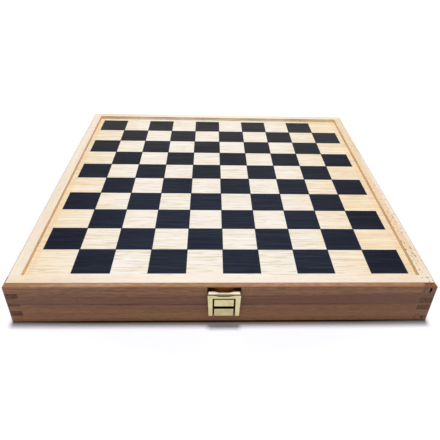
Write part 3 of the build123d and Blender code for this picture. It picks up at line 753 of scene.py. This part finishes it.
# ---- Materials by node ----
finishes = {}
for half_seed, half in enumerate(("base", "lid")):
    for side_seed, (side, top) in enumerate(TOPS.items()):
        axis = "X" if side in ("front", "back") else "Y"
        seed = len(TOPS) * half_seed + side_seed
        end = END_FAINT if side == "right" else END
        finishes[f"{half}_{side}_board"] = board_wood(f"{half}_{side}_wood", axis, seed, top,
                                                      OUTER_SHADED[half], end, DULL[half])

finishes["board_veneer"] = veneer()
finishes["dark_squares"] = printed_black()
plywood = wood("plywood", srgb(222, 190, 146), srgb(190, 152, 106), "X", 8.0, 0.6,
               streak=0.5, band=0.5)
finishes["board_panel"] = plywood
finishes["bottom_panel"] = plywood
for name in nodes:
    if name.endswith("_divider"):
        axis = "Y" if "long" in name else "X"
        finishes[name] = wood(f"{name}_wood", srgb(226, 198, 158), srgb(200, 164, 118), axis,
                              seed=len(name), roughness=0.55)

hinge_brass = brass("hinge_brass")
# the plates and the keeper get painted shade where the hasp hides them
plate_brass = brass("plate_brass", painted_light=plate_shade)
keeper_brass = brass("keeper_brass", KEEPER_BRASS, plate_shade)
for name in nodes:
    if "hinge" in name:
        finishes[name] = hinge_brass
    if "latch" in name or "nails" in name:
        finishes[name] = keeper_brass if "keeper" in name else plate_brass
finishes["latch_hasp"] = brass("hasp_brass", painted_light=bent)

finishes["light_draughtsmen"] = turned("light_men", srgb(240, 214, 168), srgb(214, 178, 124))
finishes["dark_draughtsmen"] = turned("dark_men", srgb(66, 46, 36), srgb(34, 24, 20))
finishes["dominoes"] = turned("domino_black", srgb(38, 36, 36), srgb(22, 20, 20), "Y")
finishes["domino_pips"] = paint("white_paint", srgb(236, 234, 226))
finishes["dice"] = paint("dice_ivory", srgb(238, 232, 216), 0.22)
finishes["dice_pips"] = paint("black_paint", srgb(28, 28, 30))
for tint, tones in PAWN_TONES.items():
    finishes[f"{tint}_pawns"] = turned(f"{tint}_paint", *tones, "X", 0.28)
finishes["card_pack"] = stack("playing_cards", srgb(240, 238, 232), srgb(196, 192, 184),
                              CARD_THICK, 0.32, card_back)
finishes["pad_backing"] = paint("pad_card", srgb(168, 152, 126), 0.7)
finishes["pad_sheets"] = stack("pad_paper", srgb(242, 240, 232), srgb(206, 202, 190),
                               PAPER_THICK, 0.8, ruled)
finishes["pencil_body"] = pencil_finish()
finishes["pencil_lead"] = paint("pencil_lead", srgb(60, 60, 64))
finishes["pick_up_sticks"] = stick_finish()

for name, piece in nodes.items():
    piece.data.materials.clear()
    piece.data.materials.append(finishes[name])


# ---- Floor, light and camera ----
def seen_directly(shading):
    """1 where a camera, mirror or glass ray arrives, 0 for light that bounces."""
    ray = shading.new("ShaderNodeLightPath").outputs
    seen = shading.larger(ray["Is Camera Ray"], ray["Is Glossy Ray"])
    return shading.larger(seen, ray["Is Transmission Ray"])


def floor_white():
    """Painted nearly black under the box's edge as a contact shadow, pale round it and its own white
    far away.

    The light that it bounces is dimmer.
    """
    material = bpy.data.materials.new("floor_white")
    material.use_nodes = True
    shading = Shading(material.node_tree)
    shading.tree.nodes.remove(shading.tree.nodes["Principled BSDF"])
    # painted contact shadow under the box's edge
    outside = shading.span(shading.minus(shading.reach, BOX_HALF), *SHADOW_EDGE)
    pale = shading.new("ShaderNodeBsdfDiffuse")
    shading.feed(pale.inputs["Color"], shading.mix(outside, FLOOR_SHADOW, FLOOR_PALE))
    distance = shading.new("ShaderNodeVectorMath", operation="LENGTH")
    shading.feed(distance.inputs[0], shading.coords["Object"])
    glow = shading.new("ShaderNodeEmission")
    shading.feed(glow.inputs["Strength"], shading.span(distance.outputs["Value"], *GLOW))
    bright = shading.new("ShaderNodeAddShader")
    shading.feed(bright.inputs[0], pale.outputs[0])
    shading.feed(bright.inputs[1], glow.outputs[0])
    dim = shading.new("ShaderNodeBsdfDiffuse")
    shading.feed(dim.inputs["Color"], (FLOOR_BOUNCE, FLOOR_BOUNCE, FLOOR_BOUNCE, 1))
    choose = shading.new("ShaderNodeMixShader")
    shading.feed(choose.inputs[0], seen_directly(shading))
    shading.feed(choose.inputs[1], dim.outputs[0])
    shading.feed(choose.inputs[2], bright.outputs[0])
    shading.feed(shading.tree.nodes["Material Output"].inputs["Surface"], choose.outputs[0])
    return material


def build_floor():
    """A floor that takes the box's shadow."""
    mesh = bpy.data.meshes.new("floor")
    corners = [(-FLOOR_HALF, -FLOOR_HALF, 0), (FLOOR_HALF, -FLOOR_HALF, 0),
               (FLOOR_HALF, FLOOR_HALF, 0), (-FLOOR_HALF, FLOOR_HALF, 0)]
    mesh.from_pydata(corners, [], [(0, 1, 2, 3)])
    mesh.materials.append(floor_white())
    floor = bpy.data.objects.new("floor", mesh)
    bpy.context.scene.collection.objects.link(floor)


def build_world():
    """White to the camera and in reflections, dimmer as a source of light."""
    world = bpy.data.worlds.new("studio")
    world.use_nodes = True
    bpy.context.scene.world = world
    shading = Shading(world.node_tree)
    background = shading.tree.nodes["Background"].inputs
    shading.feed(background["Strength"], shading.span(seen_directly(shading), 0, 1, SKY, 1))
    shading.feed(background["Color"], (1, 1, 1, 1))


def build_key():
    """One soft light high above the box and a little behind it."""
    data = bpy.data.lights.new("key", "AREA")
    data.shape = "DISK"
    data.size = KEY_SIZE
    data.energy = KEY_W
    key = bpy.data.objects.new("key", data)
    bpy.context.scene.collection.objects.link(key)
    key.location = KEY_PLACE
    key.rotation_euler = (-KEY_PLACE).to_track_quat("-Z", "Y").to_euler()


def build_camera():
    """The photograph's camera, placed from the middle of the playing surface."""
    data = bpy.data.cameras.new("camera")
    data.sensor_width = SENSOR_MM
    data.lens = FOCAL_PX / FRAME_PX * SENSOR_MM
    data.shift_x = (FRAME_PX / 2 - CENTRE_PX[0]) / FRAME_PX
    data.shift_y = (CENTRE_PX[1] - FRAME_PX / 2) / FRAME_PX
    data.clip_start = CLIP_START
    camera = bpy.data.objects.new("camera", data)
    bpy.context.scene.collection.objects.link(camera)
    yaw = Matrix.Rotation(math.radians(CAMERA_YAW), 3, "Z")
    tip = Matrix.Rotation(math.radians(90 - CAMERA_DOWN), 3, "X")
    roll = Matrix.Rotation(math.radians(CAMERA_ROLL), 3, "Z")
    camera.rotation_euler = (yaw @ tip @ roll).to_euler()
    camera.location = CAMERA_FROM_BOARD + Vector((0, 0, PLAYING))
    bpy.context.scene.camera = camera


build_floor()
build_world()
build_key()
build_camera()
bpy.context.scene.view_settings.view_transform = "Standard"
